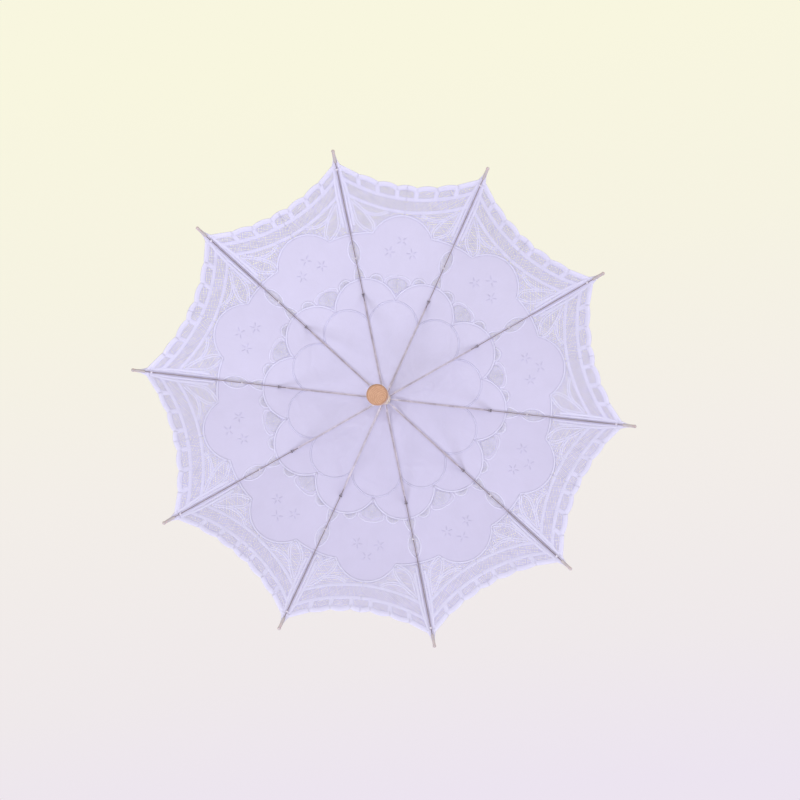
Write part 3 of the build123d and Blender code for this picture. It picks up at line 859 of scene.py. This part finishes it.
def cotton(name, colour, thread, translucent, bump, rough):
    """Woven cotton: crossing threads thread metres apart, slubs, and light that comes through."""
    nodes = Nodes(name)
    plan = nodes.plan()
    warp = nodes.waves(plan, BAND_PERIOD / thread, 0.6, 1.0, bands_direction="X")
    weft = nodes.waves(plan, BAND_PERIOD / thread, 0.6, 1.0, bands_direction="Y")
    weave = nodes.math("MULTIPLY", warp, weft)
    slub = nodes.noise(nodes.scaled(plan, 1.0, 14.0, 1.0), 60.0, 3.0)
    cloud = nodes.noise(plan, 22.0, 4.0, rough=0.6)
    tone = nodes.weighted((slub, 0.35), (cloud, 0.65))
    paint = nodes.ramp(tone, (0.25, darker(colour, 0.93)), (0.75, colour))
    relief = nodes.weighted((weave, 0.6), (slub, 0.4))
    normal = nodes.bump(relief, bump, 0.0002)
    sheen = {"Sheen Weight": 0.15, "Sheen Roughness": 0.5, "Specular IOR Level": 0.15}
    face = nodes.face(paint, rough, normal, sheen)
    return nodes.finish(nodes.let_through(translucent, face, paint, normal))


def thread_cotton(name, colour, translucent):
    """Twisted cotton thread."""
    nodes = Nodes(name)
    plan = nodes.plan()
    twist = nodes.waves(plan, 520.0, 2.0, 2.0, bands_direction="DIAGONAL")
    cloud = nodes.noise(plan, 90.0, 3.0)
    paint = nodes.ramp(cloud, (0.3, darker(colour, 0.88)), (0.7, colour))
    normal = nodes.bump(twist, 0.4, 0.0002)
    face = nodes.face(paint, 0.8, normal, {"Sheen Weight": 0.1, "Specular IOR Level": 0.2})
    return nodes.finish(nodes.let_through(translucent, face, paint, normal))


def axis_distance(nodes, place):
    """Distance from the shaft's axis at a place, as a socket."""
    flat = nodes.add("VectorMath", {0: place, 1: (1.0, 1.0, 0.0)}, operation="MULTIPLY")
    return nodes.add("VectorMath", {0: flat.outputs[0]}, operation="LENGTH").outputs["Value"]


EDGE_SHADE_RADII = (0.0102, 0.0126)  # from the axis, where painted shade darkens the edge of the grip's end
# heights over which that painted shade fades in
EDGE_SHADE_HEIGHTS = (-0.0466, -0.0492)


def wood(name, light, dark, rim):
    """Turned, lacquered wood: long grain up the stick, rings, and painted shade that darkens the edge of its
    end.
    """
    nodes = Nodes(name)
    place = nodes.place()
    long = nodes.scaled(place, 1.0, 1.0, 0.07)
    figure = nodes.noise(long, 210.0, 5.0, rough=0.65, distortion=0.4)
    fine = nodes.noise(long, 900.0, 3.0)
    off_centre = nodes.scaled(place, 1.0, 1.0, 0.15, shift=(0.006, 0.004, 0.0))
    rings = nodes.waves(off_centre, 140.0, 5.0, 3.0, 1.5, wave_type="RINGS", rings_direction="Z")
    grain = nodes.weighted((figure, 0.55), (fine, 0.2), (rings, 0.25))
    paint = nodes.ramp(grain, (0.3, dark), (0.62, light))
    edge = nodes.between(axis_distance(nodes, place), *EDGE_SHADE_RADII)
    low = nodes.between(nodes.add("SeparateXYZ", {0: place}).outputs["Z"], *EDGE_SHADE_HEIGHTS)
    # painted shade: the rim colour darkens the edge of the grip's end all round
    edge_shade = nodes.math("MULTIPLY", nodes.math("MULTIPLY", edge, low), 0.55)
    normal = nodes.bump(grain, 0.15, 0.0003)
    lacquer = {"Coat Weight": 0.25, "Coat Roughness": 0.25}
    colour = nodes.blend(edge_shade, paint, rim)
    return nodes.finish(nodes.face(colour, nodes.spread(grain, 0.32, 0.5), normal, lacquer))


def drawn_metal(nodes, place):
    """What drawn steel has all over: tarnish in patches, and normals from fine scratches."""
    tarnish = nodes.noise(place, 55.0, 5.0, rough=0.7)
    fine = nodes.noise(place, 1400.0, 2.0)
    return tarnish, nodes.bump(fine, 0.12, 0.0001)


STRETCHER_END_DARK = srgb(74, 66, 84)  # darker colour of the stretchers' ends, next to the rivets
STRETCHER_END_DARK_RUN = 0.0006  # over which the steel turns to that darker colour


def steel(name, bright, dull, metallic=0.9, dark_from=None):
    """Drawn steel, scratched and a little tarnished; darker from a distance out, in metres."""
    nodes = Nodes(name)
    place = nodes.place()
    tarnish, scratches = drawn_metal(nodes, place)
    paint = nodes.ramp(tarnish, (0.35, dull), (0.65, bright))
    if dark_from:
        # darker towards the stretchers' ends, next to the rivet joints
        end = nodes.between(axis_distance(nodes, place), dark_from - STRETCHER_END_DARK_RUN, dark_from)
        paint = nodes.blend(end, paint, STRETCHER_END_DARK)
    rough = nodes.spread(tarnish, 0.5, 0.28)
    return nodes.finish(nodes.face(paint, rough, scratches, {"Metallic": metallic}))


HOLLOW_SHADE_EDGES = (0.00045, 0.00075)  # from a rib's middle, where the painted shade of a channel's hollow ends and where the light rim begins


def steel_with_painted_hollow(name, rim, hollow_shade):
    """Drawn steel with a channel painted on: light rims, and painted shade along the middle of each rib,
    where a channel's hollow would be.
    """
    nodes = Nodes(name)
    place = nodes.place()
    parts = nodes.add("SeparateXYZ", {0: place}).outputs
    pitch = math.radians(PITCH)
    azimuth = nodes.math("ARCTAN2", parts["Y"], parts["X"])
    folded = nodes.math("MODULO", nodes.math("ADD", azimuth, pitch / 2 + math.tau), pitch)
    sine = nodes.math("SINE", nodes.math("SUBTRACT", folded, pitch / 2))
    across = nodes.math("ABSOLUTE", nodes.math("MULTIPLY", sine, axis_distance(nodes, place)))
    tarnish, scratches = drawn_metal(nodes, place)
    bright = nodes.ramp(tarnish, (0.35, darker(rim, 0.85)), (0.65, rim))
    # painted shade: the dark colour of a channel's hollow, along the middle of the solid rib
    paint = nodes.blend(nodes.between(across, *HOLLOW_SHADE_EDGES), hollow_shade, bright)
    rough = nodes.spread(tarnish, 0.5, 0.3)
    return nodes.finish(nodes.face(paint, rough, scratches, {"Metallic": 0.5}))


def plastic(name, light, dark, rough):
    """Moulded plastic with a faint flow and a fine skin."""
    nodes = Nodes(name)
    place = nodes.place()
    flow = nodes.noise(place, 40.0, 3.0)
    skin = nodes.noise(place, 2200.0, 2.0)
    paint = nodes.ramp(flow, (0.3, dark), (0.7, light))
    roughness = nodes.spread(flow, rough - 0.06, rough + 0.08)
    normal = nodes.bump(skin, 0.08, 0.0001)
    return nodes.finish(nodes.face(paint, roughness, normal, {"Subsurface Weight": 0.05}))


COTTON = srgb(201, 198, 225)
TAPE = srgb(227, 226, 248)
DARK_FROM = RIVET_DISTANCE - 0.0045  # on the stretchers, from the shaft's axis


def make_materials():
    """Every material, by a plain name."""
    return {
        "cloth": cotton("cotton cloth", COTTON, thread=0.0004, translucent=0.35, bump=0.5, rough=0.85),
        "tape": cotton("woven tape", TAPE, thread=0.0005, translucent=0.2, bump=0.7, rough=0.8),
        "net": thread_cotton("net thread", srgb(215, 212, 244), 0.2),
        "filling": thread_cotton("filling thread", srgb(224, 222, 248), 0.2),
        # this greyer thread makes the painted shade lines beside the raised tapes, and the sprigs
        "shade_line_and_sprig": thread_cotton("shade line and sprig thread", srgb(200, 197, 225), 0.15),
        "tie": thread_cotton("tie thread", srgb(236, 232, 244), 0.1),
        # each wood's last colour is the painted shade round the edge of the grip's end
        "turned": wood("turned wood", srgb(190, 150, 122), srgb(168, 126, 98), srgb(138, 98, 74)),
        "shaft": wood("shaft wood", srgb(226, 190, 152), srgb(204, 162, 124), srgb(190, 148, 112)),
        # the rib's light rim colour, then the painted shade of a channel's hollow
        "rib": steel_with_painted_hollow("rib steel", srgb(232, 226, 242), srgb(158, 147, 166)),
        "stretcher": steel("stretcher steel", srgb(222, 216, 230), srgb(190, 183, 200), 0.45, DARK_FROM),
        "pin": steel("bright steel", srgb(196, 194, 192), srgb(150, 148, 146)),
        "spring": steel("spring steel", srgb(180, 178, 172), srgb(128, 124, 118)),
        "plastic": plastic("notch plastic", srgb(212, 200, 190), srgb(196, 184, 174), 0.42),
        "tip": plastic("tip cap", srgb(188, 179, 182), srgb(168, 159, 162), 0.4),
    }


# ---------------- putting it together


def dress_frame(materials):
    """Gives every CAD node that stays its material."""
    numbers = [f"{number:02d}" for number in range(1, RIBS + 1)]
    users = {
        "shaft": ["shaft"],
        "turned": ["handle", "ferrule"],
        "pin": ["stop_pin", "notch_pin", "notch_wire"],
        "spring": ["top_catch", "bottom_catch"],
        "plastic": ["top_notch", "crown_washer", "runner"],
        "rib": [f"rib_{number}" for number in numbers],
        "tip": [f"rib_tip_{number}" for number in numbers],
        "stretcher": [f"stretcher_{number}" for number in numbers],
    }
    for material, nodes in users.items():
        for node in nodes:
            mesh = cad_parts[node].data
            mesh.materials.clear()
            mesh.materials.append(materials[material])


TIES = ((244.0, 4, 2.35), (118.0, 2, 2.25), (397.0, 5, 2.35))  # along the rib, turns, radius
TIE_RISE = 0.62  # along the rib, in each turn
TIE_THREAD = 0.3  # radius
TIE_SIDES = 6
TIE_STEPS = 14  # in each turn


def winding(along, turns, radius):
    """Middles of a thread's turns round a rib, and the ways out from the rib at each."""
    t = np.linspace(0, 1, turns * TIE_STEPS + 1)
    angle = t * turns * 2 * math.pi
    lift = radius * np.cos(angle) + 0.5
    side = radius * 0.85 * np.sin(angle)
    places = along + (t - 0.5) * turns * TIE_RISE
    spots = np.array([rib_point(place, up) for place, up in zip(places, lift, strict=True)])
    middle = np.column_stack((spots[:, 0], side, spots[:, 1]))
    return middle, np.column_stack((np.zeros_like(lift), side, lift))


def thread_tube(middle, out):
    """Points in rings round a thread, from its middles and a way out at each."""
    ahead = np.gradient(middle, axis=0)
    ahead /= np.linalg.norm(ahead, axis=1)[:, None]
    out = out - ahead * (out * ahead).sum(axis=1)[:, None]
    out /= np.linalg.norm(out, axis=1)[:, None]
    across = np.cross(ahead, out)
    ways = np.linspace(0, 2 * math.pi, TIE_SIDES, endpoint=False)[None, :, None]
    ring = TIE_THREAD * (np.cos(ways) * out[:, None] + np.sin(ways) * across[:, None])
    return (middle[:, None] + ring).reshape(-1, 3)


def tie_threads(name, azimuth):
    """Thread wound round a rib where the cover is tied to it, and at the hem's corner."""
    pile = Pile()
    for along, turns, radius in TIES:
        tube = thread_tube(*winding(along, turns, radius))
        quads, ends = tube_faces(len(tube), TIE_SIDES)
        outward = (0, 3, 2, 1)  # these rings go round the other way
        pile.add(tube, quads[:, outward], [end[::-1] for end in ends])
    points = np.vstack(pile.points)
    x, y, z = points.T
    placed = np.column_stack((*swung(x, y, azimuth), z))
    return mesh_from(name, placed * MM, pile.faces, pile.ends, points[:, :2] * MM)


def make_sector(number, piles, materials):
    """A sector's pieces, on its rib: the cloth first, and last the ties, which don't fold."""
    azimuth = math.radians(PITCH * (number - 1))
    folding = []
    for kind, (pile, material) in piles.items():
        piece = pile.mesh(f"cover_{kind}_{number:02d}", azimuth)
        piece.data.materials.append(materials[material])
        folding.append(piece)
    tie = tie_threads(f"cover_ties_{number:02d}", azimuth)
    tie.data.materials.append(materials["tie"])
    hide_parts(f"canopy_{number:02d}")
    for piece in [*folding, tie]:
        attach(piece, f"rib_{number:02d}")
    for piece in folding:
        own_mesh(piece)
    return [*folding, tie]


def make_cover(materials):
    """The ten sectors, drawn once, and each laid on its own rib."""
    rng = np.random.default_rng(SEED)
    cloth_pile, cut_area = draw_cloth()
    piles = {
        "cloth": (cloth_pile, "cloth"),
        "tapes": (draw_tapes(), "tape"),
        "net": (draw_net(rng), "net"),
        "fillings": (draw_fillings(rng), "filling"),
        "shade_lines_and_sprigs": (draw_shade_lines_and_sprigs(), "shade_line_and_sprig"),
    }
    for number in range(1, RIBS + 1):
        cloth, *others = make_sector(number, piles, materials)


# ---------------- camera, backdrop, floor and light

CAMERA_Z = -1.348
CAMERA_LENS = 48.6
CAMERA_OFFSET = (0.031, -0.0165)  # from the shaft's axis, to the picture's right and up
CAMERA_LEAN = (-0.0026, 0.0078)  # of its view from straight up, to the right and up, per metre
IMAGE_UP = math.radians(83.6)  # azimuth of the picture's upward direction
CREAM_WAY = math.radians(76.6)  # azimuth of the backdrop's cream side
BACKDROP_REACH = 0.36  # of the colours, to each side, as a share of a direction
FLOOR_Z = -2.3
FLOOR_REACH = 9.0
AIM = (0, 0, 0.45)  # of the lights, on the shaft


def make_camera():
    """The camera under the parasol, looking up the shaft from beside its axis."""
    up = Vector((math.cos(IMAGE_UP), math.sin(IMAGE_UP), 0))
    right = Vector((-math.sin(IMAGE_UP), math.cos(IMAGE_UP), 0))
    data = bpy.data.cameras.new("camera")
    data.lens = CAMERA_LENS
    data.sensor_width = 36
    data.clip_end = 50
    obj = in_scene("camera", data)
    forward = (Vector((0, 0, 1)) + CAMERA_LEAN[0] * right + CAMERA_LEAN[1] * up).normalized()
    side = forward.cross(up).normalized()
    top = side.cross(forward)
    turn = Matrix((side, top, -forward)).transposed()
    place = Vector((0, 0, CAMERA_Z)) + CAMERA_OFFSET[0] * right + CAMERA_OFFSET[1] * up
    obj.matrix_world = Matrix.Translation(place) @ turn.to_4x4()
    bpy.context.scene.camera = obj


def make_world():
    """A pale backdrop all round: cream one way, through off-white, to lilac the other way."""
    nodes = Nodes("backdrop", world=True)
    direction = nodes.add("TexCoord").outputs["Generated"]
    cream_side = (math.cos(CREAM_WAY), math.sin(CREAM_WAY), 0.0)
    towards = nodes.add("VectorMath", {0: direction, 1: cream_side}, operation="DOT_PRODUCT")
    paint = nodes.ramp(
        nodes.between(towards.outputs["Value"], -BACKDROP_REACH, BACKDROP_REACH),
        (0.03, srgb(236, 228, 240)),
        (0.19, srgb(239, 233, 235)),
        (0.44, srgb(243, 238, 232)),
        (0.69, srgb(246, 243, 226)),
        (0.93, srgb(248, 246, 223)),
    )
    background = nodes.add("Background", {"Color": paint, "Strength": 1.0})
    bpy.context.scene.world = nodes.finish(background.outputs[0])


def make_floor():
    """A plain pale floor, well below the camera."""
    nodes = Nodes("floor paint")
    cloud = nodes.noise(nodes.place(), 1.5, 2.0)
    paint = nodes.ramp(cloud, (0.3, srgb(226, 222, 222)), (0.7, srgb(232, 228, 228)))
    face = nodes.add("BsdfPrincipled", {"Base Color": paint, "Roughness": 0.9})
    mesh = bpy.data.meshes.new("floor")
    ways = ((-1, -1), (1, -1), (1, 1), (-1, 1))
    corners = [(x * FLOOR_REACH, y * FLOOR_REACH, FLOOR_Z) for x, y in ways]
    mesh.from_pydata(corners, [], [(0, 1, 2, 3)])
    mesh.materials.append(nodes.finish(face.outputs[0]))
    in_scene("floor", mesh)


def area_light(name, place, size, power, colour):
    """A soft square light, aimed at the parasol, that the camera doesn't see."""
    data = bpy.data.lights.new(name, "AREA")
    data.size = size
    data.energy = power
    data.color = colour
    obj = in_scene(name, data)
    obj.location = place
    obj.rotation_mode = "QUATERNION"
    obj.rotation_quaternion = (Vector(AIM) - Vector(place)).to_track_quat("-Z", "Y")
    obj.visible_camera = False
    obj.visible_glossy = False


def make_lights():
    """Two soft cool lights from below and a weaker one from above, through the lace."""
    area_light("key", (0.9, -1.5, -1.3), size=1.4, power=44, colour=(0.88, 0.9, 1.0))
    area_light("fill", (-1.6, 0.9, -0.9), size=1.6, power=22, colour=(0.88, 0.9, 1.0))
    area_light("top", (0.3, 0.4, 2.4), size=1.8, power=15, colour=(0.95, 0.97, 1.0))


def main():
    """Makes the picture's setting, gives the sticks their materials, and makes the cover."""
    bpy.context.scene.view_settings.view_transform = "Standard"
    materials = make_materials()
    make_camera()
    make_world()
    make_floor()
    make_lights()
    dress_frame(materials)
    make_cover(materials)


main()
